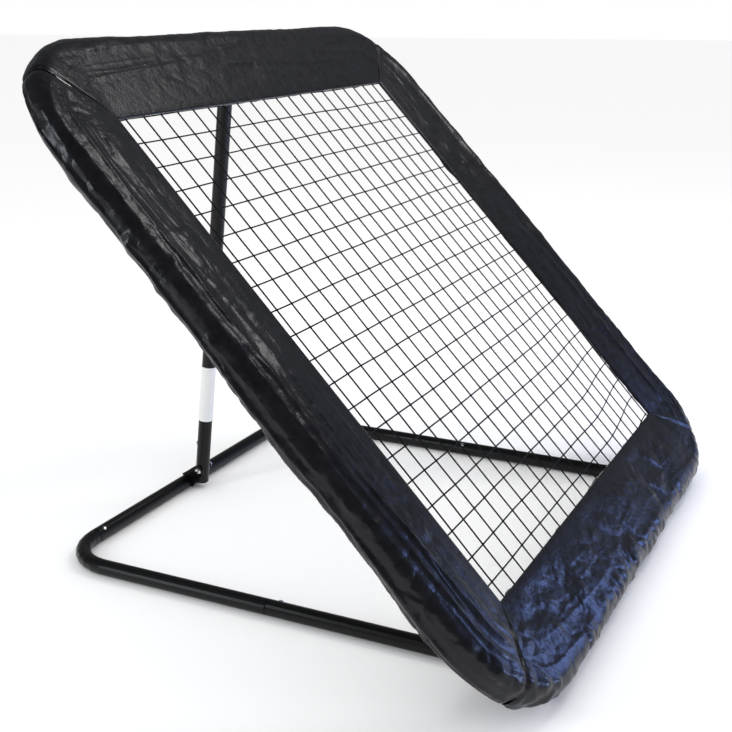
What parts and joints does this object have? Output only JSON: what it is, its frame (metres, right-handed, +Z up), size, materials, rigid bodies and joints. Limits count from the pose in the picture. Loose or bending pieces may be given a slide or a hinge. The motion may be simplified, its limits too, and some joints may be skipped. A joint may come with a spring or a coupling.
{
  "type": "pitch back rebounder",
  "caption": "Square rebound net in a padded, round-cornered tube frame that leans back on a fold-flat U-shaped ground base and one rear leg.",
  "frame": {"origin": "centre of the bounding box on the ground plane", "axes": "+X across the width, -Y the way the net faces and +Z up; the frame leans back towards +Y"},
  "size_m": [1.2364, 0.9841, 0.9288],
  "materials": {
    "tube": "satin black powder coat",
    "cover": "glossy black coated sheet, wrinkled",
    "foam": "matt foam",
    "net": "black knotted cord",
    "elastic": "black braided elastic",
    "hardware": "bright plated",
    "plug": "moulded black",
    "label": "plain white film"
  },
  "bodies": {
    "panel": {"base_hinge_bolt_left": "hardware", "base_hinge_bolt_right": "hardware", "base_hinge_ear_left_inner": "tube", "base_hinge_ear_left_outer": "tube", "base_hinge_ear_right_inner": "tube", "base_hinge_ear_right_outer": "tube", "base_hinge_nut_left": "hardware", "base_hinge_nut_right": "hardware", "cover_bottom": "cover", "cover_left": "cover", "cover_right": "cover", "cover_top": "cover", "foam_bottom": "foam", "foam_left": "foam", "foam_right": "foam", "foam_top": "foam", "frame_corner_bottom_left": "tube", "frame_corner_bottom_right": "tube", "frame_corner_top_left": "tube", "frame_corner_top_right": "tube", "frame_tube_bottom": "tube", "frame_tube_left": "tube", "frame_tube_right": "tube", "frame_tube_top": "tube", "leg_hinge_bolt": "hardware", "leg_hinge_ear_left": "tube", "leg_hinge_ear_right": "tube", "leg_hinge_nut": "hardware", "net_border_rope": "net", "net_lacing_bottom": "elastic", "net_lacing_left": "elastic", "net_lacing_right": "elastic", "net_lacing_top": "elastic", "rebound_net": "net"},
    "base": {"arm_screw_left": "hardware", "arm_screw_right": "hardware", "base_arm_left": "tube", "base_arm_plug_left": "plug", "base_arm_plug_right": "plug", "base_arm_right": "tube", "base_corner_left": "tube", "base_corner_right": "tube", "base_crossbar": "tube", "crossbar_screw_left": "hardware", "crossbar_screw_right": "hardware", "foot_ear_left": "tube", "foot_ear_right": "tube"},
    "leg": {"leg_foot_plug": "plug", "leg_label": "label", "leg_screw": "hardware", "leg_top_plug": "plug", "leg_tube": "tube", "foot_bolt": "hardware", "foot_nut": "hardware"}
  },
  "joints": [
    {"name": "base_fold", "type": "hinge", "parent": "panel", "child": "base", "pos_m": [0, -0.43889, 0.01383], "axis": [1, 0, 0], "range_deg": [0, 44]},
    {"name": "leg_fold", "type": "hinge", "parent": "panel", "child": "leg", "pos_m": [0, 0.34708, 0.86701], "axis": [-1, 0, 0], "range_deg": [0, 50.1]}
  ],
  "couplings": [
    {"joint": "leg_fold", "follows": "base_fold", "ratio": 1.1364}
  ]
}
